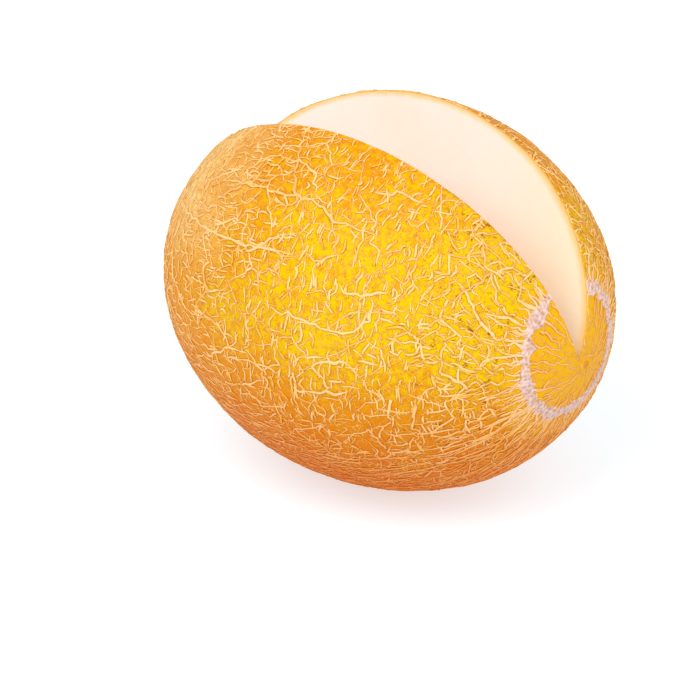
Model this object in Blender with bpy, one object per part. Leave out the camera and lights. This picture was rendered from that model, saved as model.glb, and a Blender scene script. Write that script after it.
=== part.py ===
"""Netted yellow melon lying on its side, with one long wedge cut out of its top.

Metres, +Z up. The fruit's long axis runs along X, with the blossom end at +X and the stem end
at -X. The origin is on the surface that the fruit rests on, under the middle of its length.
The whole fruit is one solid: skin, raised corky net, flesh, cut faces and seed hollow.
"""

import math
import random

import bmesh
import bpy
from mathutils import Matrix, Vector

# Driving sizes of the whole fruit
LENGTH = 0.190
GIRTH = 0.152
FULLNESS = 0.025  # share by which the girth grows towards the blossom end
RESTING_DEPTH = 0.0007  # how much of the round underside the flat resting spot takes off

# The wedge, whose two faces meet just below the fruit's long axis
WEDGE_ANGLE = math.radians(41.0)
WEDGE_DROP = 0.002

# The hollow that held the seeds
HOLLOW_LENGTH = 0.126
HOLLOW_RADIUS = 0.0265
HOLLOW_LOBES = 3
LOBE_SHARE = 0.05
RIB_HEIGHT = 0.0009
HOLLOW_STEPS_ALONG = 56
HOLLOW_STEPS_ROUND = 20

# The raised net of cork
NET_CELLS = 600
NET_HEIGHT = 0.0011
NET_SHARE = 0.2  # share of the way to a cell's middle that its cords' slopes take
NET_UNEVENNESS = 0.27
SHORTEST_CORD = 0.0027
NET_SEED = 11

# Rings of cells at the blossom end: angle from the end before stretching, cells, share of a step
BLOSSOM_RINGS = ((0.0, 1, 0.0), (8.0, 12, 0.14), (16.0, 22, 0.0), (24.0, 30, 0.12))
CORKY_RING = 2
# What those angles become on the fruit: the scar's edge, the corky ring's two edges, the net
STRETCH = ((0.0, 0.0), (4.0, 2.6), (12.0, 16.5), (20.0, 20.1), (28.0, 29.5), (40.0, 40.0), (180.0, 180.0))
NET_FROM = math.radians(29.0)
# The flower sat a little askew, so the scar lies low to one side and the ring high: the share of the
# radius by which the skin's pattern moves along Y and Z, at each angle from the end
ASKEW = (
    (0.0, 0.062, -0.059), (2.6, 0.062, -0.059), (16.5, -0.012, 0.036), (20.1, -0.012, 0.036), (40.0, 0.0, 0.0),
)
# The scar where the stem came away is a shallow dish with a ring of cells round it
STEM_RING_ANGLE = math.radians(170.0)
STEM_RING_CELLS = 8
NET_TO = math.radians(164.0)
STEM_DISH_DEPTH = 0.0018

HALF_LENGTH = LENGTH / 2
RADIUS = GIRTH / 2
AXIS_HEIGHT = RADIUS - RESTING_DEPTH
GOLDEN_TURN = math.pi * (3.0 - math.sqrt(5.0))

SKIN_COLOUR = (0.93, 0.46, 0.02, 1.0)
FLESH_COLOUR = (0.98, 0.84, 0.70, 1.0)


def clear_scene():
    for item in list(bpy.data.objects):
        bpy.data.objects.remove(item)


def new_collection(name):
    collection = bpy.data.collections.new(name)
    bpy.context.scene.collection.children.link(collection)
    return collection


def new_material(name, colour, roughness):
    material = bpy.data.materials.new(name)
    material.use_nodes = True
    shader = material.node_tree.nodes["Principled BSDF"]
    shader.inputs["Base Color"].default_value = colour
    shader.inputs["Roughness"].default_value = roughness
    shader.inputs["Metallic"].default_value = 0.0
    return material


def object_from(bm, name, collection, material):
    mesh = bpy.data.meshes.new(name)
    bm.to_mesh(mesh)
    bm.free()
    mesh.materials.append(material)
    made = bpy.data.objects.new(name, mesh)
    collection.objects.link(made)
    return made


def as_cutter(item):
    item.hide_render = True
    item.display_type = "WIRE"
    return item


def direction_at(angle, turn):
    """Unit vector at an angle from the blossom end (+X) and a turn about the long axis from +Z."""
    return Vector((math.cos(angle), math.sin(angle) * math.sin(turn), math.sin(angle) * math.cos(turn)))


def between(steps, angle):
    """The values that belong to an angle, read evenly between the steps on either side of it."""
    for (low, *low_values), (high, *high_values) in zip(steps, steps[1:]):
        if angle <= high:
            share = (angle - low) / (high - low)
            return [a + (b - a) * share for a, b in zip(low_values, high_values)]
    return steps[-1][1:]


def stretched(direction):
    """The direction with its angle from the blossom end moved as STRETCH says, then aside as ASKEW says."""
    angle = math.degrees(math.acos(max(-1.0, min(1.0, direction.x))))
    turn = math.atan2(direction.y, direction.z)
    angle, = between(STRETCH, angle)
    aside = Vector((0.0, *between(ASKEW, angle)))
    return (direction_at(math.radians(angle), turn) + aside).normalized()


def skin_point(direction, height=0.0):
    """Point of the skin in this direction of a unit sphere, raised by height along its normal."""
    swell = RADIUS * (1.0 + FULLNESS * direction.x)
    point = Vector((HALF_LENGTH * direction.x, swell * direction.y, swell * direction.z))
    normal = Vector((direction.x / HALF_LENGTH, direction.y / RADIUS, direction.z / RADIUS))
    return point + normal.normalized() * height


def direction_of(point):
    """The unit sphere's direction whose skin point lies over this point."""
    return Vector((point.x / HALF_LENGTH, point.y / RADIUS, point.z / RADIUS)).normalized()


def net_centres():
    """Directions of the net's cell middles, and the numbers of those in the blossom end's corky ring.

    The rings round both ends are even. Between them the middles follow a golden-angle spiral, each
    pushed aside by a seeded draw, so that the cells are alike in size and uneven in shape.
    """
    draw = random.Random(NET_SEED)
    centres = []
    corky = set()
    for number, (angle, count, offset) in enumerate(BLOSSOM_RINGS):
        for step in range(count):
            turn = 2.0 * math.pi * (step + offset * draw.uniform(-1.0, 1.0)) / count
            if number == CORKY_RING:
                corky.add(len(centres))
            centres.append(direction_at(math.radians(angle), turn))
    spacing = math.sqrt(4.0 * math.pi / NET_CELLS)
    for step in range(NET_CELLS):
        angle = math.acos(1.0 - (2.0 * step + 1.0) / NET_CELLS)
        push = Vector([draw.uniform(-1.0, 1.0) for _ in range(3)]) * NET_UNEVENNESS * spacing
        if NET_FROM < angle < NET_TO:
            centres.append((direction_at(angle, step * GOLDEN_TURN) + push).normalized())
    for step in range(STEM_RING_CELLS):
        centres.append(direction_at(STEM_RING_ANGLE, 2.0 * math.pi * step / STEM_RING_CELLS))
    centres.append(direction_at(math.pi, 0.0))
    return centres, corky


def net_cells(centres):
    """One face for each middle, holding the part of the skin nearest to it, with corners at the cords' height.

    The middles' convex hull joins each to its neighbours, and a hull triangle's normal points at the
    place on the sphere that is equally far from its three corners, which is where three cells meet.
    """
    hull = bmesh.new()
    points = [hull.verts.new(centre) for centre in centres]
    numbers = {point: number for number, point in enumerate(points)}
    bmesh.ops.convex_hull(hull, input=points)
    bmesh.ops.recalc_face_normals(hull, faces=hull.faces)
    net = bmesh.new()
    corners = {face: net.verts.new(skin_point(stretched(face.normal), NET_HEIGHT)) for face in hull.faces}
    label = net.faces.layers.int.new("cell")
    for point in points:
        around = point.co.normalized()
        across = around.orthogonal().normalized()
        up = around.cross(across)
        ring = sorted(
            point.link_faces,
            key=lambda face: math.atan2(face.normal.dot(up), face.normal.dot(across)),
        )
        net.faces.new([corners[face] for face in ring])[label] = numbers[point]
    hull.free()
    spread = [corner for corner in net.verts if direction_of(corner.co).x < math.cos(NET_FROM)]
    bmesh.ops.remove_doubles(net, verts=spread, dist=SHORTEST_CORD)
    return net


def sink_between_cords(net, corky, stem_scar):
    """Lowers each cell's middle to the skin, which leaves its borders standing as sloping cords.

    The corky ring's cells keep the cords' height all over, and the stem scar's middle goes deeper.
    """
    label = net.faces.layers.int["cell"]
    floors = [face for face in net.faces if face[label] not in corky]
    depths = {face: STEM_DISH_DEPTH if face[label] == stem_scar else 0.0 for face in floors}
    bmesh.ops.inset_individual(net, faces=floors, thickness=0.0, depth=0.0)
    for face in floors:
        middle = face.calc_center_median()
        for corner in face.verts:
            place = direction_of(corner.co.lerp(middle, NET_SHARE))
            corner.co = skin_point(place, -depths[face])
    deep = [face for face in floors if depths[face]]
    domed = bmesh.ops.poke(net, faces=[face for face in floors if not depths[face]])
    for middle in domed["verts"]:
        middle.co = skin_point(direction_of(middle.co))
    bmesh.ops.triangulate(net, faces=deep)


def whole_fruit(collection, material):
    centres, corky = net_centres()
    net = net_cells(centres)
    sink_between_cords(net, corky, len(centres) - 1)
    bmesh.ops.recalc_face_normals(net, faces=net.faces)
    bmesh.ops.translate(net, verts=net.verts, vec=(0.0, 0.0, AXIS_HEIGHT))
    return object_from(net, "melon", collection, material)


def wedge_cutter(collection, material):
    """A three-sided bar along the fruit, point down, whose lower edge lies just below the long axis."""
    half_width = GIRTH * math.tan(WEDGE_ANGLE / 2.0)
    start = -0.75 * LENGTH
    low = AXIS_HEIGHT - WEDGE_DROP
    bar = bmesh.new()
    section = [(0.0, low), (half_width, low + GIRTH), (-half_width, low + GIRTH)]
    end = bar.faces.new([bar.verts.new((start, y, z)) for y, z in section])
    grown = bmesh.ops.extrude_face_region(bar, geom=[end])
    far_end = [item for item in grown["geom"] if isinstance(item, bmesh.types.BMVert)]
    bmesh.ops.translate(bar, verts=far_end, vec=(-2.0 * start, 0.0, 0.0))
    bmesh.ops.recalc_face_normals(bar, faces=bar.faces)
    return as_cutter(object_from(bar, "wedge_cutter", collection, material))


def hollow_cutter(collection, material):
    """A long round-ended shape with three soft lobes, ribbed across where the seeds sat.

    It is turned by half a step, so that the wedge's lower edge runs between its lengthwise edges.
    """
    hollow = bmesh.new()
    half_step = Matrix.Rotation(math.pi / HOLLOW_STEPS_ROUND, 4, "X")
    bmesh.ops.create_uvsphere(
        hollow, u_segments=HOLLOW_STEPS_ROUND, v_segments=HOLLOW_STEPS_ALONG, radius=1.0,
        matrix=half_step @ Matrix.Rotation(math.pi / 2.0, 4, "Y"),
    )
    for point in hollow.verts:
        angle = math.acos(max(-1.0, min(1.0, point.co.x)))
        turn = math.atan2(point.co.y, point.co.z)
        rib = RIB_HEIGHT * (-1.0) ** round(angle / math.pi * HOLLOW_STEPS_ALONG)
        lobes = 1.0 + LOBE_SHARE * math.cos(HOLLOW_LOBES * turn)
        reach = math.sin(angle) * (HOLLOW_RADIUS * lobes + rib)
        along = math.cos(angle) * HOLLOW_LENGTH / 2.0
        point.co = (along, reach * math.sin(turn), AXIS_HEIGHT + reach * math.cos(turn))
    bmesh.ops.recalc_face_normals(hollow, faces=hollow.faces)
    return as_cutter(object_from(hollow, "hollow_cutter", collection, material))


def ground_cutter(collection, material):
    """A slab whose top is the surface that the fruit rests on."""
    slab = bmesh.new()
    bmesh.ops.create_cube(slab, size=LENGTH)
    bmesh.ops.translate(slab, verts=slab.verts, vec=(0.0, 0.0, -LENGTH / 2.0))
    return as_cutter(object_from(slab, "ground_cutter", collection, material))


def take_away(body, cutter):
    cut = body.modifiers.new(f"less_{cutter.name}", "BOOLEAN")
    cut.operation = "DIFFERENCE"
    cut.solver = "EXACT"
    cut.material_mode = "TRANSFER"
    cut.object = cutter


def main():
    clear_scene()
    fruit = new_collection("netted_melon")
    cutters = new_collection("cutters")
    skin = new_material("yellow_netted_skin", SKIN_COLOUR, 0.55)
    flesh = new_material("cream_flesh", FLESH_COLOUR, 0.4)
    melon = whole_fruit(fruit, skin)
    take_away(melon, wedge_cutter(cutters, flesh))
    take_away(melon, hollow_cutter(cutters, flesh))
    take_away(melon, ground_cutter(cutters, skin))


main()
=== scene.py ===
"""A netted yellow melon with one long wedge cut out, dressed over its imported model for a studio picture."""

import math

import bmesh
import bpy
import numpy as np
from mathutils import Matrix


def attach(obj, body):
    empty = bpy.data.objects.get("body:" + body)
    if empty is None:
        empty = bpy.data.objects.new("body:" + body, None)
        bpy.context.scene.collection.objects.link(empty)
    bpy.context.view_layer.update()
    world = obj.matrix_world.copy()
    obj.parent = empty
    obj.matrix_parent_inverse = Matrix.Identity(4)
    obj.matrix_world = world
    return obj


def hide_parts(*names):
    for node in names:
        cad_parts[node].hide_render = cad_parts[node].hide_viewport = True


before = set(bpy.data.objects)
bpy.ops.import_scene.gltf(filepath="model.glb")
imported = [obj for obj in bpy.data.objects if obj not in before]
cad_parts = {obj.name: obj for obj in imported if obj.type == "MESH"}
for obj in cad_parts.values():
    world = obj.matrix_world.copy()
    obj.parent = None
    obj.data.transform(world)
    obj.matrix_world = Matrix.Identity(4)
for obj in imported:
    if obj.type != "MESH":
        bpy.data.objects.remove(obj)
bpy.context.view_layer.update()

# The fruit grew as one body: an egg lying along X with its blossom end at +X, a little fuller there.
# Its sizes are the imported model's. Shallow hollows and soft pillows between the cords make it uneven,
# and the skin dips into a dish where the stem came away.
HALF_LENGTH = 0.095
RADIUS = 0.076
FULLNESS = 0.025
AXIS_HEIGHT = 0.0753
HOLLOWS_DEPTH, HOLLOWS_SIZE = 0.0005, 0.06
PILLOW_HEIGHT, PILLOW_SIZE = 0.00012, 0.010
STEM_DISH_DEPTH, STEM_DISH_WIDTH = 0.0018, 0.006
PRESSED_FLAT = 0.0002


def unit(vectors):
    """The vectors divided by their lengths."""
    return vectors / np.linalg.norm(vectors, axis=-1, keepdims=True)


def direction(angle, turn):
    """Unit vectors at an angle from the blossom end and at a turn about the long axis from straight up."""
    angle, turn = np.broadcast_arrays(angle, turn)
    return np.stack([np.cos(angle), np.sin(angle) * np.sin(turn), np.sin(angle) * np.cos(turn)], axis=-1)


def ripples(points, size, seed, waves=20):
    """Smooth random heights, mostly from -1 to 1: a sum of sine waves about `size` long, at random
    headings."""
    draw = np.random.default_rng(seed)
    headings = unit(draw.normal(size=(waves, 3))) * draw.uniform(0.7, 1.4, (waves, 1))
    starts = draw.uniform(0.0, 2.0 * math.pi, waves)
    return np.sin(points @ headings.T * (2.0 * math.pi / size) + starts).sum(axis=-1) / math.sqrt(waves)


def outward(towards):
    """The skin's normals over unit directions: their parts divided by the half axes, made unit."""
    return unit(towards / np.array([HALF_LENGTH, RADIUS, RADIUS]))


def skin_at(towards, height=0.0):
    """Points of the skin over unit directions, raised by height along the normal.

    x is the half length times the direction's x. y and z are the radius times the direction's, and the
    radius grows evenly towards the blossom end. The relief lowers the skin by wide random hollows and by
    a bell-shaped dish round the stem end, and adds soft pillows. Nothing goes below the resting surface.
    """
    swell = RADIUS * (1.0 + FULLNESS * towards[..., 0])
    points = towards * np.stack([np.full_like(swell, HALF_LENGTH), swell, swell], axis=-1)
    from_stem = np.hypot(points[..., 1], points[..., 2]) + HALF_LENGTH * (towards[..., 0] > 0.0)
    relief = HOLLOWS_DEPTH * (0.5 * np.tanh(ripples(points, HOLLOWS_SIZE, 1)) - 0.5)
    relief += PILLOW_HEIGHT * np.tanh(ripples(points, PILLOW_SIZE, 2))
    relief -= STEM_DISH_DEPTH * np.exp(-((from_stem / STEM_DISH_WIDTH) ** 2))
    points += outward(towards) * (relief + height)[..., None]
    points[..., 2] = np.maximum(points[..., 2] + AXIS_HEIGHT, PRESSED_FLAT)
    return points


def new_piece(name, points, faces, **attributes):
    """A mesh object from an array of points and a list of faces, with numbers kept at its points."""
    mesh = bpy.data.meshes.new(name)
    mesh.from_pydata(points.reshape(-1, 3), [], faces)
    for label, values in attributes.items():
        kept = mesh.attributes.new(label, "FLOAT", "POINT")
        kept.data.foreach_set("value", np.ascontiguousarray(values, dtype=np.float32).ravel())
    mesh.shade_smooth()
    piece = bpy.data.objects.new(name, mesh)
    bpy.context.scene.collection.objects.link(piece)
    return piece


def ring_faces(rings, spokes):
    """Outward faces over rings of points, which are numbered ring by ring: quads between neighbouring
    rings, and a fan of triangles at each end, round a point of its own. The first end's point has the
    number after the rings', and the last end's the next."""
    here = np.arange(spokes)
    after = np.roll(here, -1)
    rows = (np.arange(rings - 1) * spokes)[:, None]
    quads = np.stack([rows + here, rows + after, rows + spokes + after, rows + spokes + here], axis=-1)
    last = (rings - 1) * spokes
    first_fan = np.stack([np.full(spokes, rings * spokes), after, here], axis=-1)
    last_fan = np.stack([np.full(spokes, rings * spokes + 1), last + here, last + after], axis=-1)
    return quads.reshape(-1, 4).tolist() + first_fan.tolist() + last_fan.tolist()


def egg(height, rings, spokes):
    """Points and faces of a closed skin at this height, in rings from the blossom end to the stem end."""
    angles = np.linspace(0.0, math.pi, rings + 2)[1:-1]
    turns = np.arange(spokes) * (2.0 * math.pi / spokes)
    around = direction(angles[:, None], turns[None, :]).reshape(-1, 3)
    ends = np.array([[1.0, 0.0, 0.0], [-1.0, 0.0, 0.0]])
    return skin_at(np.concatenate([around, ends]), height), ring_faces(rings, spokes)


# The wedge was cut with two straight strokes of a knife that meet just below the long axis, and the
# seeds were scraped out. Both spaces are closed shapes that each piece is carved with and that then go.
WEDGE_HALF_ANGLE = math.radians(20.5)
WEDGE_EDGE = AXIS_HEIGHT - 0.002
WEDGE_TOP = WEDGE_EDGE + 2.0 * RADIUS
NET_SETBACK = 0.00006
SEED_HOLLOW_HALF_LENGTH = 0.063
SEED_HOLLOW_RADIUS = 0.0265
SEED_HOLLOW_LOBES, LOBE_SHARE = 3, 0.05
SEED_RIBS, RIB_HEIGHT = 28, 0.0011
RIB_SHIFT, RIB_SHIFT_SIZE = 0.8, 0.03
RIB_FADING, RIB_FADING_SIZE = 0.3, 0.02
SEED_BUMP_SIZE, SEED_BUMP_HEIGHT = 0.006, 0.0006


def into_wedge(points):
    """How far points lie inside the wedge's nearer face, in metres; below zero, they are in the fruit."""
    gap = (points[..., 2] - WEDGE_EDGE) * math.sin(WEDGE_HALF_ANGLE)
    return gap - np.abs(points[..., 1]) * math.cos(WEDGE_HALF_ANGLE)


def wedge_space(name, wider=0.0):
    """A three-sided bar along X: its lower edge is the cut's, and its sides lean out by the half angle.
    Each side can lie a little further out than the knife's cut did."""
    edge = WEDGE_EDGE - wider / math.sin(WEDGE_HALF_ANGLE)
    half_width = (WEDGE_TOP - edge) * math.tan(WEDGE_HALF_ANGLE)
    section = [(0.0, edge), (half_width, WEDGE_TOP), (-half_width, WEDGE_TOP)]
    reach = 1.5 * HALF_LENGTH
    points = np.array([(x, y, z) for x in (-reach, reach) for y, z in section])
    sides = [[i, (i + 1) % 3, (i + 1) % 3 + 3, i + 3] for i in range(3)]
    return new_piece(name, points, sides + [[0, 2, 1], [3, 4, 5]])


def seed_space(rings=150, spokes=120):
    """The hollow: a long round-ended shape with soft lobes round it, small bumps, and cosine ribs that
    follow one another along it, shifted and faded by ripples."""
    angles = np.append(np.repeat(np.linspace(0.0, math.pi, rings + 2)[1:-1], spokes), [0.0, math.pi])
    turns = np.append(np.tile(np.arange(spokes) * (2.0 * math.pi / spokes), rings), [0.0, 0.0])
    towards = direction(angles, turns)
    lobes = SEED_HOLLOW_RADIUS * (1.0 + LOBE_SHARE * np.cos(SEED_HOLLOW_LOBES * turns))
    places = towards * np.array([SEED_HOLLOW_HALF_LENGTH, SEED_HOLLOW_RADIUS, SEED_HOLLOW_RADIUS])
    shift = RIB_SHIFT * ripples(places, RIB_SHIFT_SIZE, 5)
    fading = 1.0 - RIB_FADING + RIB_FADING * ripples(places, RIB_FADING_SIZE, 6)
    ribs = RIB_HEIGHT * np.cos(SEED_RIBS * angles + shift) * fading
    reach = lobes + ribs + SEED_BUMP_HEIGHT * ripples(places, SEED_BUMP_SIZE, 7)
    points = towards * np.stack([np.full_like(reach, SEED_HOLLOW_HALF_LENGTH), reach, reach], axis=-1)
    points[:, 2] += AXIS_HEIGHT
    return new_piece("seed_space", points, ring_faces(rings, spokes))


def carve(piece, *spaces):
    """Takes the spaces out of a piece with Boolean modifiers, and keeps the mesh that they give. Faces in
    the knife's two planes are shaded flat."""
    for space in spaces:
        cut = piece.modifiers.new(space.name, "BOOLEAN")
        cut.operation = "DIFFERENCE"
        cut.solver = "MANIFOLD"
        cut.object = space
    whole = piece.data
    carved = bpy.data.meshes.new_from_object(piece.evaluated_get(bpy.context.evaluated_depsgraph_get()))
    middles = np.empty(len(carved.polygons) * 3)
    carved.polygons.foreach_get("center", middles)
    rounded = np.abs(into_wedge(middles.reshape(-1, 3))) > 2.0 * NET_SETBACK
    carved.polygons.foreach_set("use_smooth", rounded)
    piece.modifiers.clear()
    piece.data = carved
    bpy.data.meshes.remove(whole)


cut_wedge = wedge_space("cut_wedge")
net_wedge = wedge_space("net_wedge", NET_SETBACK)
seed_hollow = seed_space()


# The skin is a thin tough rind, shown as a shell with its own thickness, so that the cut shows its edge.
# It is yellow and satin, with fine pale cracks that never grew into cords, and tan where it was cut.
RIND = 0.00045
SKIN_RINGS, SKIN_SPOKES = 190, 290
LINING_RINGS, LINING_SPOKES = 60, 90


class Wire:
    """An output socket of a material, so that shader maths is written as sums. A sign between wires or
    with a number adds a Math node."""

    def __init__(self, tree, socket=None):
        self.tree = tree
        self.socket = socket

    def node(self, kind, settings=None, inputs=None, output=0):
        """Adds a node of this type: its settings first, then its inputs' values or links."""
        added = self.tree.nodes.new(kind)
        for label, value in (settings or {}).items():
            setattr(added, label, value)
        for label, value in (inputs or {}).items():
            self.feed(added.inputs[label], value)
        return Wire(self.tree, added.outputs[output])

    def feed(self, socket, value):
        """Links a wire to an input socket, or sets the input to a plain value."""
        if isinstance(value, Wire):
            self.tree.links.new(value.socket, socket)
        else:
            socket.default_value = value

    def _math(self, operation, *values):
        return self.node("ShaderNodeMath", {"operation": operation}, dict(enumerate(values)))

    def __add__(self, other):
        return self._math("ADD", self, other)

    def __sub__(self, other):
        return self._math("SUBTRACT", self, other)

    def __mul__(self, other):
        return self._math("MULTIPLY", self, other)

    def __truediv__(self, other):
        return self._math("DIVIDE", self, other)

    def __pow__(self, other):
        return self._math("POWER", self, other)

    def __rsub__(self, other):
        return self._math("SUBTRACT", other, self)

    __radd__ = __add__
    __rmul__ = __mul__

    def __abs__(self):
        return self._math("ABSOLUTE", self)

    def step(self, low, high):
        """0 below low and 1 above high, with a smooth step between; high may be the lower one."""
        ends = {"Value": self, 1: low, 2: high, 3: 0.0, 4: 1.0}
        if low > high:
            ends = {"Value": self, 1: high, 2: low, 3: 1.0, 4: 0.0}
        return self.node("ShaderNodeMapRange", {"interpolation_type": "SMOOTHSTEP"}, ends)

    def tint(self, first, second):
        """The first colour where this wire is 0 and the second where it is 1."""
        return self.node("ShaderNodeMix", {"data_type": "RGBA"}, {0: self, 6: first, 7: second}, output=2)

    def noise(self, scale, detail=2.0, roughness=0.5, output=0):
        """Cloudy noise read at this wire's coordinates."""
        inputs = {"Vector": self, "Scale": scale, "Detail": detail, "Roughness": roughness}
        return self.node("ShaderNodeTexNoise", {}, inputs, output)

    def parts(self):
        """The x, y and z of a vector wire."""
        split = self.node("ShaderNodeSeparateXYZ", {}, {"Vector": self})
        return [Wire(self.tree, socket) for socket in split.socket.node.outputs]


def colour(red, green, blue):
    """A linear colour from the 0 to 255 values that a screen shows."""
    shown = np.array([red, green, blue]) / 255.0
    linear = np.where(shown <= 0.04045, shown / 12.92, ((shown + 0.055) / 1.055) ** 2.4)
    return (*linear.tolist(), 1.0)


def new_finish(name, roughness, **constants):
    """A material with its constant sockets set, its object coordinates, and its shader's inputs."""
    material = bpy.data.materials.new(name)
    material.use_nodes = True
    shader = material.node_tree.nodes["Principled BSDF"]
    shader.inputs["Roughness"].default_value = roughness
    for label, value in constants.items():
        shader.inputs[label.replace("_", " ")].default_value = value
    here = Wire(material.node_tree).node("ShaderNodeTexCoord", output="Object")
    return material, here, shader.inputs


def grown_on(piece, finish):
    """Gives a piece its finish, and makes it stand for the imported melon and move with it."""
    piece.data.materials.clear()
    piece.data.materials.append(finish)
    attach(piece, "root")
    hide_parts("melon")


LEMON = colour(224, 183, 0)
AMBER = colour(220, 136, 0)
TAWNY_SHADE = colour(208, 80, 0)
BISCUIT_SHEEN = colour(243, 204, 132)
GOLDEN = colour(234, 168, 0)
OLIVE = colour(190, 116, 2)
RUST = colour(132, 50, 10)
CUT_RIND = colour(228, 178, 96)
HAIR_CRACK = colour(238, 180, 84)


def low_shade(here):
    """0 on the fruit's upper half and 1 low on its sides: the mask of the shade that is painted darker there.
    """
    _, _, z = here.parts()
    return (here.noise(60.0, 2.0) * 0.03 + z).step(0.098, 0.022)


def skin_colour(here):
    """The skin's colours, which the foot of each cord has too. They are lemon in a belt along its sides at
    middle height, finely mottled with amber above and below it, towards the stem end and on the far side.
    This amber is partly the skin's own mottling and partly painted shade round the best-lit belt. Low down
    the skin is painted tawny as shade, high at the stem end it is painted paler biscuit as a sheen of light,
    and it is golden inside the corky ring. Outside the ring there are olive pores, and near the ring
    rust-brown flecks.

    off_belt grows above and below the belt, towards the far side and towards the stem end, and by_ring
    grows towards the blossom end, a little sooner high and low on the fruit.
    """
    x, y, z = here.parts()
    clouds = here.noise(38.0, 3.0, 0.55)
    mottle = here.noise(420.0, 4.0, 0.7)
    # The amber above and below the belt, on the far side and towards the stem end is partly the skin's own
    # mottling and partly painted shade.
    off_belt = z.step(0.096, 0.038) * 0.50 + z.step(0.105, 0.140) * 0.14 + y.step(-0.005, 0.030) * 0.2
    off_belt = off_belt + x.step(0.030, -0.060) * 0.26 - x * 0.5
    in_ring = x.step(0.083, 0.088)
    amber_mottle_and_shade = (clouds * 0.5 + mottle + off_belt).step(0.70, 1.06)
    # Low on its sides the skin is painted tawny: painted shade.
    base = (low_shade(here) * 0.9).tint(amber_mottle_and_shade.tint(LEMON, AMBER), TAWNY_SHADE)
    # High at the stem end the skin is painted paler biscuit: a painted sheen of light.
    sheen_stemward = (here.noise(45.0, 2.0) * 0.05 + x).step(0.015, -0.042)
    base = (sheen_stemward * z.step(0.084, 0.116) * 0.95).tint(base, BISCUIT_SHEEN)
    base = (in_ring * (mottle * 0.5 + 0.6)).tint(base, GOLDEN)
    pores = here.noise(1050.0, 3.0, 0.7).step(0.53, 0.68)
    base = (pores * (1.0 - in_ring) * 0.5).tint(base, OLIVE)
    by_ring = (abs(z - 0.085) * 0.25 + x).step(0.054, 0.076) * (1.0 - in_ring)
    flecks = here.noise(300.0, 5.0, 0.75).step(0.580, 0.620) * by_ring
    return (flecks * 0.8).tint(base, RUST)


def skin_finish():
    """Lemon skin with hair-thin broken cracks, each between two darker lines, and tan cut edges."""
    material, here, shader = new_finish("yellow_skin", 0.42, Specular_IOR_Level=0.06)
    bent = here.node("ShaderNodeVectorMath", {"operation": "MULTIPLY_ADD"},
                     {0: here.noise(260.0, 2.0, output=1), 1: (0.004, 0.004, 0.004), 2: here})
    cracks = bent.node("ShaderNodeTexVoronoi", {"feature": "DISTANCE_TO_EDGE"},
                       {"Vector": bent, "Scale": 380.0})
    broken = here.noise(420.0, 2.0, 0.6).step(0.44, 0.56)
    thread = cracks.step(0.075, 0.03) * broken
    border = cracks.step(0.17, 0.09) * broken
    base = (border * 0.4).tint(skin_colour(here), OLIVE)
    base = (thread * 0.75).tint(base, HAIR_CRACK)
    _, y, z = here.parts()
    gap = (z - WEDGE_EDGE) * math.sin(WEDGE_HALF_ANGLE) - abs(y) * math.cos(WEDGE_HALF_ANGLE)
    here.feed(shader["Base Color"], abs(gap).step(0.00005, 0.00002).tint(base, CUT_RIND))
    grain = here.noise(1400.0, 2.0, 0.6) * 0.00008 + thread * 0.00012
    bump = grain.node("ShaderNodeBump", {}, {"Height": grain, "Distance": 1.0, "Strength": 0.9})
    here.feed(shader["Normal"], bump)
    here.feed(shader["Roughness"], here.noise(500.0, 2.0) * 0.2 + 0.34)
    return material


outer_points, outer_faces = egg(0.0, SKIN_RINGS, SKIN_SPOKES)
lining_points, lining_faces = egg(-RIND, LINING_RINGS, LINING_SPOKES)
lining_faces = [[i + len(outer_points) for i in reversed(face)] for face in lining_faces]
skin = new_piece("melon_skin", np.concatenate([outer_points, lining_points]), outer_faces + lining_faces)
carve(skin, cut_wedge)
grown_on(skin, skin_finish())


# The flesh fills the rind. The knife left two flat wet faces, cream with a yellower band under the rind,
# and the scraped hollow keeps the ribs that the seeds sat between.
FLESH_RINGS, FLESH_SPOKES = 110, 150
CREAM = colour(247, 226, 214)
PEACH = colour(246, 222, 205)
TIP_BEIGE = colour(243, 221, 194)
UNDER_RIND = colour(244, 194, 112)
HOLLOW_WALL = colour(242, 196, 136)


def depth_under_skin(here):
    """How deep a place lies under the smooth skin, in metres: the egg's formula on its coordinates."""
    x, y, z = here.parts()
    girth = x * (FULLNESS * RADIUS / HALF_LENGTH) + RADIUS
    up = z - AXIS_HEIGHT
    reach = (x * x * (1.0 / HALF_LENGTH**2) + (y * y + up * up) / (girth * girth)) ** 0.5
    return (1.0 - reach) * RADIUS


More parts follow.
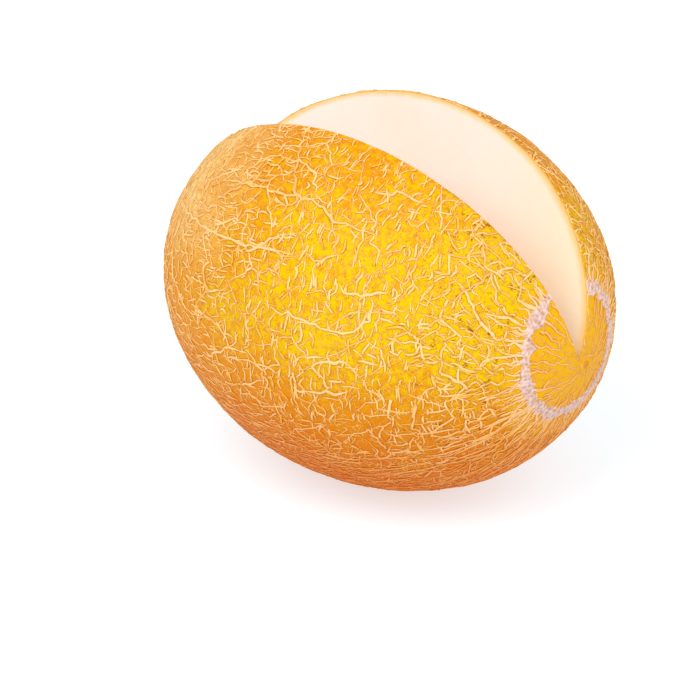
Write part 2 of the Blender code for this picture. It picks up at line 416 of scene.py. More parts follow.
def flesh_finish():
    """Cream flesh: yellow, then pale under the rind by depth, peach clouds, and a deeper tone round the
    hollow, by how many times its half length and radius a place lies from its middle."""
    material, here, shader = new_finish("cream_flesh", 0.4, Specular_IOR_Level=0.2, Subsurface_Weight=0.1,
                                        Subsurface_Scale=0.0015)
    x, y, z = here.parts()
    depth = depth_under_skin(here)
    ragged = here.noise(300.0, 3.0) * 0.0012 + depth
    base = (here.noise(30.0, 3.0) * 0.9).step(0.3, 0.7).tint(CREAM, PEACH)
    base = x.step(0.020, 0.085).tint(base, TIP_BEIGE)
    base = (ragged.step(0.0040, 0.0012) * 0.9).tint(base, UNDER_RIND)
    up = z - AXIS_HEIGHT
    squares = x * x * (1.0 / SEED_HOLLOW_HALF_LENGTH**2) + (y * y + up * up) * (1.0 / SEED_HOLLOW_RADIUS**2)
    around_hollow = squares ** 0.5 + here.noise(160.0, 2.0) * 0.15
    base = (around_hollow.step(1.32, 1.08) * 0.8).tint(base, HOLLOW_WALL)
    here.feed(shader["Base Color"], base)
    fibres = here.noise(700.0, 3.0, 0.6) * 0.00006
    here.feed(shader["Normal"], fibres.node("ShaderNodeBump", {}, {"Height": fibres, "Distance": 1.0}))
    here.feed(shader["Roughness"], here.noise(220.0, 3.0) * 0.25 + 0.24)
    return material


flesh = new_piece("melon_flesh", *egg(-RIND, FLESH_RINGS, FLESH_SPOKES))
carve(flesh, cut_wedge, seed_hollow)
grown_on(flesh, flesh_finish())


# The net is cork that grew along splits in the skin. Its main cords stand on the raised lines of the
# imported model: each is a domed ridge with its feet in the skin, swollen where it meets others, and
# some fade out before they arrive.
MAIN_ACROSS = np.array([-1.0, -0.74, -0.52, -0.2, 0.2, 0.52, 0.74, 1.0])
MAIN_RISE = np.array([-0.1, 0.1, 0.66, 1.0, 1.0, 0.66, 0.1, -0.1])
CORD_ROOT = 0.0005
MAIN_STEPS = 8
MAIN_WIDTH, MAIN_HEIGHT = 0.0020, 0.0005
MAIN_MISSING, LEAST_SIZE, SIZE_BY_CHANCE, SIZE_BY_HEADING = 0.26, 0.16, 0.36, 0.56
CREST_LEVEL = 0.0007
RING_MARGIN = 0.01
CUT_TOLERANCE, PAST_CUT = 0.0003, 0.002
CORK_RING_ANGLES = (math.radians(16.5), math.radians(20.1))
RING_ASIDE = np.array([0.0, -0.012, 0.036])
SWAY, SWAY_SIZE = 0.0006, 0.0044
PALE_CORK = colour(252, 205, 140)
TAN_CORK = colour(240, 174, 98)
LOW_CORK_SHADE = colour(222, 114, 22)
CORK_SHADE = colour(166, 90, 4)


def ridges(name, route, width, height, across, rise, tones):
    """Closed ridges along routes of directions shaped (cord, step, 3).

    Each step's profile lies square across the route: points at `across` half widths, raised `rise` times
    the height, and one root point under the skin. Neighbouring profiles are joined by quads, and a face
    closes each end.
    """
    middle = skin_at(route)
    normal = outward(route)
    side = unit(np.cross(normal, np.gradient(middle, axis=1)))
    reach = np.append(across, 0.0) * width[..., None] / 2.0
    lift = np.append(rise, 0.0) * height[..., None]
    lift[..., -1] = -CORD_ROOT
    points = middle[:, :, None] + side[:, :, None] * reach[..., None]
    points = points + normal[:, :, None] * lift[..., None]
    points[..., 2] = np.maximum(points[..., 2], 0.0)
    cords, steps, ring = points.shape[:3]
    numbers = np.arange(cords * steps * ring).reshape(cords, steps, ring)
    turned = np.roll(numbers, -1, axis=2)
    quads = np.stack([numbers[:, :-1], numbers[:, 1:], turned[:, 1:], turned[:, :-1]], axis=-1)
    ends = np.concatenate([numbers[:, 0], numbers[:, -1, ::-1]])
    spread = np.broadcast_to(np.append(across, 0.0), points.shape[:3])
    tone = np.broadcast_to(tones[:, None, None], points.shape[:3])
    return new_piece(name, points, quads.reshape(-1, 4).tolist() + ends.tolist(), across=spread, tone=tone)


def swayed(route, sway=SWAY):
    """Routes pushed aside by smooth ripples, so that cords that meet in one place still meet."""
    push = np.stack([ripples(route * RADIUS, SWAY_SIZE, 11 + axis) for axis in range(3)], axis=-1)
    return unit(route + push * (sway / RADIUS))


def straight(starts, ends, steps):
    """Routes from starts to ends in even steps."""
    share = np.linspace(0.0, 1.0, steps)[None, :, None]
    return starts[:, None] * (1.0 - share) + ends[:, None] * share


def ring_angle(towards):
    """Angles from the corky ring's own middle, which lies a little aside of the blossom end."""
    return np.arccos(np.clip(unit(towards - RING_ASIDE)[..., 0], -1.0, 1.0))


def directions_of(points):
    """Unit directions of the smooth skin under or over these points, and the points' heights over it.

    Divided by the half axes, the skin is a unit sphere. A point's height is how far its length there
    passes 1, divided by how fast that length grows along the normal.
    """
    x = points[..., 0] / HALF_LENGTH
    girth = RADIUS * (1.0 + FULLNESS * x)
    scaled = np.stack([x, points[..., 1] / girth, (points[..., 2] - AXIS_HEIGHT) / girth], axis=-1)
    reach = np.linalg.norm(scaled, axis=-1)
    towards = scaled / reach[..., None]
    steepness = np.linalg.norm(towards / np.array([HALF_LENGTH, RADIUS, RADIUS]), axis=-1)
    return towards, (reach - 1.0) / steepness


def crests():
    """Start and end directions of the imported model's raised lines.

    Its triangles' shared corners are merged by place. A line is an edge whose two ends both stand at the
    cords' height, outside the corky ring. One that the wedge cut short is made longer, to be carved.
    """
    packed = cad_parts["melon"].data
    corners = np.empty(len(packed.vertices) * 3)
    packed.vertices.foreach_get("co", corners)
    packed.calc_loop_triangles()
    triangles = np.empty(len(packed.loop_triangles) * 3, dtype=int)
    packed.loop_triangles.foreach_get("vertices", triangles)
    places, merged = np.unique(np.round(corners.reshape(-1, 3), 6), axis=0, return_inverse=True)
    triangles = merged.reshape(-1)[triangles].reshape(-1, 3)
    edges = np.concatenate([triangles[:, [0, 1]], triangles[:, [1, 2]], triangles[:, [2, 0]]])
    edges = np.unique(np.sort(edges, axis=1), axis=0)
    towards, height = directions_of(places)
    angle = ring_angle(towards)
    in_ring = (angle > CORK_RING_ANGLES[0] - RING_MARGIN) & (angle < CORK_RING_ANGLES[1] + RING_MARGIN)
    at_cut = np.abs(into_wedge(places)) < CUT_TOLERANCE
    chosen = (height[edges] > CREST_LEVEL).all(axis=1)
    chosen &= ~in_ring[edges].all(axis=1) & ~at_cut[edges].all(axis=1)
    starts, ends = towards[edges[chosen, 0]], towards[edges[chosen, 1]]
    along = unit(ends - starts) * (PAST_CUT / RADIUS)
    starts = unit(starts - along * at_cut[edges[chosen, 0], None])
    ends = unit(ends + along * at_cut[edges[chosen, 1], None])
    return starts, ends


def along_length(starts, ends):
    """How much a cord runs along the fruit: 1 from end to end, and 0 round its girth."""
    middle = unit(starts + ends)
    lengthwise = unit(np.array([1.0, 0.0, 0.0]) - middle * middle[:, :1])
    return np.abs((unit(ends - starts) * lengthwise).sum(axis=1))


def crosswise_share(towards):
    """How many of the cords run round the girth: few beside the corky ring, most over the blossom half,
    few behind the waist, and most again close to the stem end. Low on the fruit nearly all run along it,
    and on the stem half from higher up."""
    wander = 0.1 * ripples(towards, 0.5, 33)
    by_length = np.interp(towards[..., 0] + wander, (-0.7, -0.5, -0.15, 0.1, 0.6, 0.85),
                          (0.9, 0.25, 0.25, 0.9, 0.9, 0.15))
    above = towards[..., 2] + 0.25 * towards[..., 0] + wander
    return by_length * np.interp(above, (-0.45, -0.05), (0.08, 1.0))


def matching(starts, ends):
    """From 0 to 1, how well cords run the way that most cords run there."""
    return 1.0 - np.abs(along_length(starts, ends) - 1.0 + crosswise_share(starts))


def cork_finish(name, pale, tan, foot=0.88, edge=0.50, low=LOW_CORK_SHADE):
    """Pale cork on a cord's back, painted darker low on the fruit as shade. Past `edge` of the way from its
    middle to its side come the skin's colours darkened by painted shade at the cord's foot, and past `foot`
    the skin's own."""
    material, here, shader = new_finish(name, 0.72, Specular_IOR_Level=0.15)
    across = abs(here.node("ShaderNodeAttribute", {"attribute_name": "across"}, output="Fac"))
    tone = here.node("ShaderNodeAttribute", {"attribute_name": "tone"}, output="Fac")
    ragged = here.noise(1500.0, 3.0, 0.65) * 0.30 - 0.15 + across
    cork = (here.noise(700.0, 3.0) * 0.7 + tone * 0.5).step(0.35, 0.85).tint(pale, tan)
    # Low on the fruit the cork is painted darker: painted shade.
    cork = (low_shade(here) * 0.85).tint(cork, low)
    skin = skin_colour(here)
    # Towards its foot each cord darkens the skin's colours with brown: painted shade where the cord meets the
    # skin.
    shade = (tone * 0.2 + 0.35).tint(skin, CORK_SHADE)
    base = ragged.step(edge - 0.12, edge + 0.14).tint(cork, shade)
    base = ragged.step(foot - 0.12, foot + 0.10).tint(base, skin)
    here.feed(shader["Base Color"], base)
    grain = here.noise(2200.0, 4.0, 0.7) * 0.00022
    here.feed(shader["Normal"], grain.node("ShaderNodeBump", {}, {"Height": grain, "Distance": 1.0}))
    return material


def swollen_ends(cords, steps, draw, fading):
    """Widths along each cord, about 1: thicker at both ends, uneven, and some fading to a point."""
    share = np.linspace(-1.0, 1.0, steps)[None, :]
    width = 0.84 + 0.26 * share**2 + draw.normal(0.0, 0.16, (cords, steps))
    fades = draw.random(cords) < fading
    start = draw.uniform(-0.4, 0.5, cords)[:, None]
    flipped = np.where(draw.random(cords)[:, None] < 0.5, share, -share)
    thinned = np.clip((1.0 - flipped) / (1.0 - start), 0.04, 1.0) ** 0.7
    return np.where(fades[:, None], width * thinned, width).clip(0.05)


main_draw = np.random.default_rng(21)
main_starts, main_ends = crests()
kept = main_draw.random(len(main_starts)) > MAIN_MISSING
main_route = swayed(straight(main_starts[kept], main_ends[kept], MAIN_STEPS))
main_width = swollen_ends(len(main_route), MAIN_STEPS, main_draw, fading=0.7)
main_match = matching(main_starts[kept], main_ends[kept])
main_size = LEAST_SIZE + SIZE_BY_CHANCE * main_draw.random(len(main_route)) + SIZE_BY_HEADING * main_match
slim_low = np.interp(main_route[..., 2], (-0.6, -0.2), (0.6, 1.0))
slim_in_ring = np.where(ring_angle(main_route) < CORK_RING_ANGLES[0], 0.5, 1.0)
main_size = main_size[:, None] * slim_low * slim_in_ring
net = ridges("main_cords", main_route, MAIN_WIDTH * main_width * main_size,
             MAIN_HEIGHT * np.clip(main_width, 0.2, 1.15) * main_size, MAIN_ACROSS, MAIN_RISE,
             main_draw.random(len(main_route)))
carve(net, net_wedge)
grown_on(net, cork_finish("pale_cork", PALE_CORK, TAN_CORK))


# A few long cords, older and bolder than the rest, wander along the fruit over many of the net's cells.
# Those that the picture shows are laid through measured places, and the hidden side has its own.
LONG_STEPS = 36
LONG_WIDTH, LONG_HEIGHT = 0.0020, 0.00055
# Each cord's places: the angle from the blossom end and the turn from straight up, in degrees
SEEN_CORDS = (
    ((133, 306), (114, 299), (96, 298), (87, 300), (82, 300)),
    ((113, 315), (100, 315), (92, 315), (83, 316), (75, 313), (66, 314)),
    ((84, 284), (75, 284), (67, 283), (62, 285), (59, 289), (60, 296)),
    ((68, 296), (65, 295), (60, 297), (57, 299)),
    ((98, 325), (93, 326), (87, 324), (83, 319)),
    ((72, 271), (66, 274), (63, 275)),
    ((77, 262), (69, 263), (64, 265)),
    ((99, 264), (87, 267), (80, 266)),
    ((70, 325), (65, 329), (60, 330)),
)
HIDDEN_CORDS = 14
HIDDEN_ANGLES, HIDDEN_TURNS = (85, 130), (35, 240)
LEAST_STRIDE, MOST_STRIDE = (-14.0, -5.0), (-5.0, 5.0)


def through(places, steps):
    """A route through places given in degrees, at even steps along it."""
    spots = direction(*np.radians(np.array(places, dtype=float)).T)
    passed = np.append(0.0, np.cumsum(np.linalg.norm(np.diff(spots, axis=0), axis=1)))
    even = np.linspace(0.0, passed[-1], steps)
    return np.stack([np.interp(even, passed, spots[:, axis]) for axis in range(3)], axis=-1)


long_draw = np.random.default_rng(25)
hidden_cords = [
    np.cumsum([(angle, turn), *long_draw.uniform(LEAST_STRIDE, MOST_STRIDE, (3, 2))], axis=0)
    for angle, turn in zip(long_draw.uniform(*HIDDEN_ANGLES, HIDDEN_CORDS),
                           np.linspace(*HIDDEN_TURNS, HIDDEN_CORDS))
]
long_route = swayed(np.stack([through(places, LONG_STEPS) for places in (*SEEN_CORDS, *hidden_cords)]))
long_taper = np.interp(np.linspace(0.0, 1.0, LONG_STEPS), (0.0, 0.12, 0.85, 1.0), (0.3, 0.85, 1.0, 0.3))
long_size = long_taper * (0.84 + 0.3 * ripples(long_route * RADIUS, 0.006, 27)).clip(0.3, 1.3)
long_cords = ridges("long_cords", long_route, LONG_WIDTH * long_size, LONG_HEIGHT * long_size,
                    MAIN_ACROSS, MAIN_RISE, 0.5 * long_draw.random(len(long_route)))
carve(long_cords, net_wedge)
grown_on(long_cords, cork_finish("long_cork", PALE_CORK, TAN_CORK))


# Finer cords of the same cork split the main net's cells. They are the borders of a closer net of cells,
# of which about half grew, most of them on the same headings as the main cords beside them.
FINE_CELLS = 3300
FINE_ACROSS = np.array([-1.0, -0.42, 0.42, 1.0])
FINE_RISE = np.array([-0.12, 1.0, 1.0, -0.12])
FINE_STEPS = 4
YOUNG_CORK = colour(242, 177, 70)
FINE_WIDTH, FINE_HEIGHT = 0.0012, 0.00032
FINE_SWAY = 0.0005
FINE_GROWTH, FINE_FROM_RING = 1.2, 0.03
CLEAR_OF_CUT = 0.0005
GOLDEN_TURN = math.pi * (3.0 - math.sqrt(5.0))


def scattered(count, unevenness, draw):
    """Directions spread evenly on a golden-angle spiral, each then pushed aside at random."""
    steps = np.arange(count)
    spread = direction(np.arccos(1.0 - (2.0 * steps + 1.0) / count), steps * GOLDEN_TURN)
    spacing = math.sqrt(4.0 * math.pi / count)
    return unit(spread + draw.uniform(-1.0, 1.0, spread.shape) * unevenness * spacing)


def cell_borders(centres):
    """Start and end directions of the borders between neighbouring cells.

    The centres' convex hull has a triangle wherever three cells meet, and its normal points there. Two
    triangles that share an edge are the two ends of a border.
    """
    hull = bmesh.new()
    for centre in centres:
        hull.verts.new(centre)
    bmesh.ops.convex_hull(hull, input=hull.verts)
    bmesh.ops.recalc_face_normals(hull, faces=hull.faces)
    shared = [edge.link_faces for edge in hull.edges if len(edge.link_faces) == 2]
    pairs = np.array([[face.normal[:] for face in faces] for faces in shared])
    hull.free()
    return pairs[:, 0], pairs[:, 1]


def outside_wedge(route):
    """True for each route that has a step in the fruit, and not only in the wedge's space."""
    return (into_wedge(skin_at(route)) < CLEAR_OF_CUT).any(axis=1)


fine_draw = np.random.default_rng(31)
fine_starts, fine_ends = cell_borders(scattered(FINE_CELLS, 0.32, fine_draw))
outside_ring = ring_angle(fine_starts) > CORK_RING_ANGLES[1] + FINE_FROM_RING
fine_match = matching(fine_starts, fine_ends)
grown = (fine_draw.random(len(fine_starts)) < FINE_GROWTH * fine_match**2) & outside_ring
fine_route = swayed(straight(fine_starts[grown], fine_ends[grown], FINE_STEPS), FINE_SWAY)
fine_route = fine_route[outside_wedge(fine_route)]
fine_width = swollen_ends(len(fine_route), FINE_STEPS, fine_draw, fading=0.5)
fine_size = fine_draw.uniform(0.5, 1.15, len(fine_route))[:, None]
fine_net = ridges("fine_cords", fine_route, FINE_WIDTH * fine_width * fine_size,
                  FINE_HEIGHT * np.clip(fine_width, 0.3, 1.1) * fine_size, FINE_ACROSS, FINE_RISE,
                  fine_draw.random(len(fine_route)))
carve(fine_net, net_wedge)
grown_on(fine_net, cork_finish("fine_cork", PALE_CORK, YOUNG_CORK, foot=0.92, edge=0.54))


# Short cords and hair cords are the youngest cork: single strokes, a little bent, that grew between the
# others and favour the same headings. Low beside the corky ring they run long and side by side.
SHORT_COUNT, SHORT_STEPS = 5700, 5
SHORT_LENGTH, SHORT_WIDTH, SHORT_HEIGHT = 0.0040, 0.00124, 0.0003
SHORT_TAPER = np.array([0.6, 0.95, 1.0, 0.9, 0.45])
STROKE_SWAY, STROKE_FROM_RING = 0.0003, 0.02
HEADING_SPREAD, BEND_SPREAD = 0.17, 0.4
CROWDING, CROWDING_CHANGE, PATCH_SIZE = 0.86, 0.3, 0.028
LADDER_LONGER, LADDER_STRAIGHTER = 1.4, 0.7
HAIR_COUNT = 3200
HAIR_ACROSS = np.array([-1.0, 0.0, 1.0])
HAIR_RISE = np.array([-0.2, 1.0, -0.2])
HAIR_STEPS = 3
HAIR_TAPER = np.array([0.35, 1.0, 0.35])
HAIR_LENGTH, HAIR_WIDTH, HAIR_HEIGHT = 0.0030, 0.00068, 0.00018


def strokes(middles, lengths, headings, steps, bend):
    """Short arcs on the skin: through each middle, at a heading from lengthwise, curved to one side."""
    lengthwise = unit(np.array([1.0, 0.0, 0.0]) - middles * middles[:, :1])
    crosswise = np.cross(middles, lengthwise)
    ahead = lengthwise * np.cos(headings)[:, None] + crosswise * np.sin(headings)[:, None]
    aside = np.cross(middles, ahead)
    share = np.linspace(-0.5, 0.5, steps)[None, :, None]
    bow = bend[:, None, None] * (share**2 - 0.08)
    reach = (lengths / RADIUS)[:, None, None]
    return unit(middles[:, None] + reach * (ahead[:, None] * share + aside[:, None] * bow))


def loose_strokes(count, length, steps, draw):
    """Routes of single strokes over the skin outside the corky ring, each on its own heading. They grew
    more closely in some patches than in others. Where ladder is 1, low beside the ring, those that run
    along the fruit are longer and straighter."""
    middles = scattered(count, 0.9, draw)
    crowding = CROWDING + CROWDING_CHANGE * ripples(middles * RADIUS, PATCH_SIZE, 35)
    clear = ring_angle(middles) > CORK_RING_ANGLES[1] + STROKE_FROM_RING
    middles = middles[clear & (draw.random(count) < crowding)]
    across = draw.random(len(middles)) < crosswise_share(middles)
    headings = np.where(across, math.pi / 2.0, 0.0) + draw.normal(0.0, HEADING_SPREAD, len(middles))
    ladder = np.clip((middles[:, 0] - 0.3) * 3.0, 0.0, 1.0) * np.clip(0.2 - 3.0 * middles[:, 2], 0.0, 1.0)
    lengths = length * draw.uniform(0.5, 1.6, len(middles)) * (1.0 + LADDER_LONGER * ladder * ~across)
    route = strokes(middles, lengths, headings * (1.0 - LADDER_STRAIGHTER * ladder * ~across), steps,
                    draw.normal(0.0, BEND_SPREAD, len(middles)))
    return swayed(route[outside_wedge(route)], STROKE_SWAY)


short_draw = np.random.default_rng(43)
short_route = loose_strokes(SHORT_COUNT, SHORT_LENGTH, SHORT_STEPS, short_draw)
short_size = short_draw.uniform(0.55, 1.3, len(short_route))[:, None]
short_taper = SHORT_TAPER[None, :] * short_size
short_net = ridges("short_cords", short_route, SHORT_WIDTH * short_taper, SHORT_HEIGHT * short_taper,
                   FINE_ACROSS, FINE_RISE, 0.75 * short_draw.random(len(short_route)))
carve(short_net, net_wedge)
grown_on(short_net, cork_finish("short_cork", PALE_CORK, YOUNG_CORK, foot=0.92, edge=0.54))

hair_draw = np.random.default_rng(41)
hair_route = loose_strokes(HAIR_COUNT, HAIR_LENGTH, HAIR_STEPS, hair_draw)
hair_taper = HAIR_TAPER[None, :] * hair_draw.uniform(0.7, 1.4, len(hair_route))[:, None]
hair_net = ridges("hair_cords", hair_route, HAIR_WIDTH * hair_taper, HAIR_HEIGHT * hair_taper,
                  HAIR_ACROSS, HAIR_RISE, hair_draw.random(len(hair_route)))
carve(hair_net, net_wedge)
grown_on(hair_net, cork_finish("hair_cork", YOUNG_CORK, YOUNG_CORK, foot=0.95, edge=0.54))


# The corky ring marks where the flower sat. It is a flat raised band, pitted and ragged, with a comb of
# short cords running out from it and forked streaks running in towards the blossom scar. The flower sat
# askew, so the scar lies low to one side of the fruit's end, and the ring a little high.
RING_TURNS, RING_ROWS = 720, 14
RING_HEIGHT = 0.0007
RING_RAGGED = math.radians(0.55)
WIDE_RIPPLE, CLOSE_RIPPLE, CRACK_SIZE = 0.009, 0.0024, 0.0016
COMB, STREAKS, THIN_STREAKS, SPOKE_STEPS = 120, 26, 30, 10
COMB_SIZE, STREAK_SIZE, THIN_STREAK_SIZE = 0.95, 1.2, 0.6
SPOKE_WIDTH, SPOKE_HEIGHT, SPOKE_SWAY = 0.0017, 0.0004, 0.0007
COMB_TONE, STREAK_TONE = 0.3, 1.0
ASH_CORK = colour(231, 199, 189)
ASH_SHADE = colour(200, 148, 116)
COMB_CORK = colour(244, 206, 166)
LILAC_LOW_SHADE = colour(188, 156, 154)
SCAR_EDGE = math.radians(2.6)
SCAR_ASIDE = np.array([0.0, 0.062, -0.059])
NET_EDGE = math.radians(40.0)


def askew(towards):
    """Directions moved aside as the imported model's are: by SCAR_ASIDE at the scar, by RING_ASIDE at the
    ring, by nothing beyond NET_EDGE, and evenly between them."""
    angle = np.arccos(np.clip(towards[..., 0], -1.0, 1.0))
    steps = (SCAR_EDGE, *CORK_RING_ANGLES, NET_EDGE)
    aside = [np.interp(angle, steps, (at_scar, at_ring, at_ring, 0.0))
             for at_scar, at_ring in zip(SCAR_ASIDE, RING_ASIDE)]
    return unit(towards + np.stack(aside, axis=-1))


def corky_ring():
    """A closed band round the blossom end.

    Across it, the angle from the end goes from the inner to the outer edge. Both edges wander by a wide
    and a close ripple, and the band is wider on the far side. It is flat-topped, falls to the skin at its
    edges, and is cracked by finer ripples. A row of points under the skin closes it.
    """
    turns = np.arange(RING_TURNS) * (2.0 * math.pi / RING_TURNS)
    share = np.linspace(-1.0, 1.0, RING_ROWS)
    inner, outer = CORK_RING_ANGLES
    on_ring = direction(outer, turns) * RADIUS
    ragged = [ripples(on_ring, WIDE_RIPPLE, seed) + 0.8 * ripples(on_ring, CLOSE_RIPPLE, seed + 1)
              for seed in (51, 53)]
    wide = 0.3 * RING_RAGGED * (1.0 + np.sin(turns))
    inner = inner - wide + RING_RAGGED * ragged[0]
    outer = outer + wide + RING_RAGGED * ragged[1]
    angles = (inner + outer)[None, :] / 2.0 + share[:, None] * (outer - inner)[None, :] / 2.0
    towards = askew(direction(angles, turns[None, :]))
    cracked = 0.74 + 0.26 * ripples(towards * RADIUS, CRACK_SIZE, 55)
    height = RING_HEIGHT * (1.08 * (1.0 - np.abs(share[:, None]) ** 5) - 0.08) * cracked
    foot = skin_at(towards[[0, -1]], -CORD_ROOT)
    points = np.concatenate([foot[:1], skin_at(towards, height), foot[1:]])
    rows, columns = points.shape[:2]
    numbers = np.arange(rows * columns).reshape(rows, columns)
    below, beside = np.roll(numbers, -1, axis=0), np.roll(numbers, -1, axis=1)
    quads = np.stack([numbers, beside, np.roll(below, -1, axis=1), below], axis=-1)
    spread = np.broadcast_to(np.concatenate([[-1.0], share, [1.0]])[:, None], (rows, columns))
    # Where the ring is lower, in its pits, it takes more of the darker ash shade: painted shade in its
    # hollows.
    tone = np.concatenate([cracked[:1], cracked, cracked[-1:]]) * -1.2 + 1.3
    return new_piece("corky_ring", points, quads.reshape(-1, 4).tolist(), across=spread, tone=tone)


def spokes(count, first, last, draw, wander):
    """Routes from one range of angles to another round the blossom end, in degrees, at even turns a little
    disturbed. Each drifts to one side as it goes, so that some meet and fork."""
    turns = (np.arange(count) + draw.uniform(-0.4, 0.4, count)) * (2.0 * math.pi / count)
    drift = draw.normal(0.0, wander, count)
    start = direction(np.radians(draw.uniform(*first, count)), turns)
    end = direction(np.radians(draw.uniform(*last, count)), turns + drift)
    return swayed(askew(unit(straight(start, end, SPOKE_STEPS))), SPOKE_SWAY)


ring = corky_ring()
carve(ring, net_wedge)
# Low on the ring the ash cork is painted darker lilac grey: painted shade.
ring_finish = cork_finish("ash_cork", ASH_CORK, ASH_SHADE, foot=1.05, edge=0.95, low=LILAC_LOW_SHADE)
grown_on(ring, ring_finish)

streak_draw = np.random.default_rng(61)
comb_route = spokes(COMB, (19.0, 20.0), (21.5, 28.0), streak_draw, 0.03)
streak_route = spokes(STREAKS, (15.5, 17.6), (9.5, 14.0), streak_draw, 0.16)
thin_route = spokes(THIN_STREAKS, (13.0, 17.6), (2.6, 7.0), streak_draw, 0.14)
spoke_route = np.concatenate([comb_route, streak_route, thin_route])
spoke_size = np.repeat([COMB_SIZE, STREAK_SIZE, THIN_STREAK_SIZE], [COMB, STREAKS, THIN_STREAKS])[:, None]
spoke_size = spoke_size * streak_draw.uniform(0.65, 1.35, spoke_size.shape)
spoke_taper = np.linspace(1.0, 0.3, SPOKE_STEPS)[None, :] * spoke_size
spoke_tones = np.repeat([COMB_TONE, STREAK_TONE], [COMB, STREAKS + THIN_STREAKS])
spoke_tones = spoke_tones * streak_draw.uniform(0.6, 1.3, len(spoke_route))
streaks = ridges("blossom_streaks", spoke_route, SPOKE_WIDTH * spoke_taper, SPOKE_HEIGHT * spoke_taper,
                 MAIN_ACROSS, MAIN_RISE, spoke_tones)
carve(streaks, net_wedge)
grown_on(streaks, cork_finish("streak_cork", COMB_CORK, TAN_CORK))


# The two scars close the ends: a dry tan button where the flower dropped, and a wider corky disc with
# a raised lip, deep in its dish, where the stem slipped off.
BLOSSOM_SCAR_RADIUS, BLOSSOM_SCAR_HEIGHT = 0.0015, 0.0004
STEM_SCAR_RADIUS, STEM_SCAR_HEIGHT = 0.0068, 0.0007
SCAR_CRACKS, SCAR_GRAIN = 17.0, 0.0015
DRY_BROWN = colour(220, 150, 56)
DRY_TAN = colour(238, 178, 96)


def scar(name, radius, height, end, seed, rings=24, spokes=96):
    """A low closed disc on one end of the fruit (end is 1 for the blossom and -1 for the stem).

    From its middle out, its height follows a dimple, a rounded lip near the rim, radial cracks from a
    cosine of the turn, and ripples. The rim and a root point go under the skin.
    """
    share = np.linspace(0.0, 1.0, rings + 1)[1:]
    turns = np.arange(spokes) * (2.0 * math.pi / spokes)
    angles = share[:, None] * radius / RADIUS * (1.0 + 0.06 * ripples(direction(1.0, turns), 0.9, seed))
    towards = askew(direction(angles, turns[None, :]) * np.array([end, 1.0, 1.0]))
    lip = np.exp(-(((share - 0.78) / 0.16) ** 2)) * 0.8 + 0.25
    cracks = 0.12 * np.cos(SCAR_CRACKS * turns)[None, :] * np.sin(math.pi * share)[:, None]
    raised = height * (lip[:, None] + cracks + 0.12 * ripples(towards * RADIUS, SCAR_GRAIN, seed + 1))
    raised[-1] = -CORD_ROOT
    middles = askew(np.array([[end, 0.0, 0.0]] * 2, dtype=float))
    points = np.concatenate([skin_at(towards, raised).reshape(-1, 3),
                             skin_at(middles, np.array([0.2 * height, -CORD_ROOT]))])
    faces = ring_faces(rings, spokes)
    if end < 0:
        faces = [face[::-1] for face in faces]
    spread = np.append(np.repeat(share, spokes), [0.0, 1.0])
    return new_piece(name, points, faces, across=spread, tone=np.zeros(len(points)))


for scar_name, size, rise, side_of_fruit in (
    ("blossom_scar", BLOSSOM_SCAR_RADIUS, BLOSSOM_SCAR_HEIGHT, 1.0),
    ("stem_scar", STEM_SCAR_RADIUS, STEM_SCAR_HEIGHT, -1.0),
):
    disc = scar(scar_name, size, rise, side_of_fruit, 71)
    carve(disc, net_wedge)
    grown_on(disc, cork_finish(f"dry_{scar_name}", DRY_BROWN, DRY_TAN, foot=1.15, edge=1.0))

bpy.data.objects.remove(cut_wedge)
bpy.data.objects.remove(net_wedge)
bpy.data.objects.remove(seed_hollow)


# The studio: a pale floor with a faint glow of its own, a broad soft light from the upper left, a weaker
# one from the right, and a bright even surround. The camera looks down at the blossom end.
FLOOR_HALF_WIDTH = 4.0
LIGHT_WIDTH = 1.2
CAMERA_AZIMUTH, CAMERA_ELEVATION = math.radians(41.4), math.radians(23.7)
FOCAL_PIXELS, FRAME_PIXELS, SENSOR_MM = 2500.0, 700.0, 36.0
PIXELS_PER_RADIUS = 196.8
MELON_PIXEL = (383.6, 286.9)

floor_points = np.array([(-1, -1, 0), (1, -1, 0), (1, 1, 0), (-1, 1, 0)]) * FLOOR_HALF_WIDTH
floor = new_piece("floor", floor_points, [[0, 1, 2, 3]])
floor_material, _, _ = new_finish("pale_floor", 0.8, Base_Color=(0.43, 0.53, 0.59, 1.0),
                                  Emission_Color=(1.0, 1.0, 1.0, 1.0), Emission_Strength=0.6)
floor.data.materials.append(floor_material)


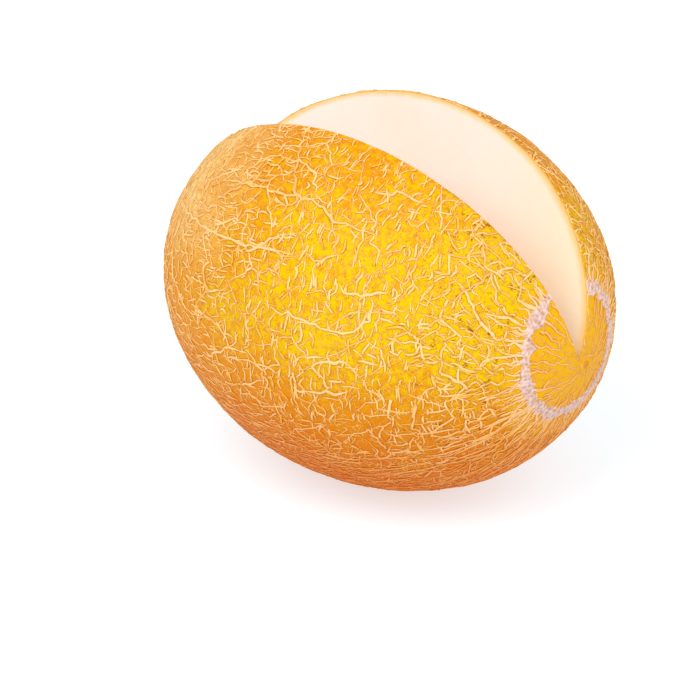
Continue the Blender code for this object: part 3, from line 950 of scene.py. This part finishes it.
def facing(item, target):
    """Turns a light or camera so that it looks at the target with its top side up."""
    away = unit(np.array(item.location) - np.array(target))
    right = unit(np.cross((0.0, 0.0, 1.0), away))
    turned = np.stack([right, np.cross(away, right), away], axis=1)
    item.rotation_euler = [float(part) for part in (
        math.atan2(turned[2, 1], turned[2, 2]),
        -math.asin(turned[2, 0]),
        math.atan2(turned[1, 0], turned[0, 0]),
    )]


def soft_light(name, place, size, power):
    """A square area light at a place, turned to face the fruit's middle."""
    lamp = bpy.data.lights.new(name, "AREA")
    lamp.size = size
    lamp.energy = power
    light = bpy.data.objects.new(name, lamp)
    light.location = place
    facing(light, (0.0, 0.0, AXIS_HEIGHT))
    bpy.context.scene.collection.objects.link(light)


soft_light("key_light", (0.0, -1.03, 1.30), LIGHT_WIDTH, 16.0)
soft_light("side_light", (1.22, -0.12, 1.10), LIGHT_WIDTH, 10.0)

surround = bpy.data.worlds.new("surround")
surround.use_nodes = True
surround.node_tree.nodes["Background"].inputs["Color"].default_value = (1.0, 1.0, 1.0, 1.0)
surround.node_tree.nodes["Background"].inputs["Strength"].default_value = 0.6
bpy.context.scene.world = surround
bpy.context.scene.view_settings.view_transform = "Standard"

lens = bpy.data.cameras.new("camera")
lens.sensor_width = SENSOR_MM
lens.lens = FOCAL_PIXELS / FRAME_PIXELS * SENSOR_MM
lens.clip_start, lens.clip_end = 0.05, 50.0
camera = bpy.data.objects.new("camera", lens)
distance = FOCAL_PIXELS / PIXELS_PER_RADIUS * RADIUS
back = np.array([math.sin(CAMERA_AZIMUTH) * math.cos(CAMERA_ELEVATION),
                 -math.cos(CAMERA_AZIMUTH) * math.cos(CAMERA_ELEVATION), math.sin(CAMERA_ELEVATION)])
right = np.array([math.cos(CAMERA_AZIMUTH), math.sin(CAMERA_AZIMUTH), 0.0])
middle = np.array([0.0, 0.0, AXIS_HEIGHT])
camera.location = middle + back * distance
aside = (FRAME_PIXELS / 2.0 - MELON_PIXEL[0]) * distance / FOCAL_PIXELS
down = (FRAME_PIXELS / 2.0 - MELON_PIXEL[1]) * distance / FOCAL_PIXELS
facing(camera, middle + right * aside - np.cross(back, right) * down)
bpy.context.scene.collection.objects.link(camera)
bpy.context.scene.camera = camera
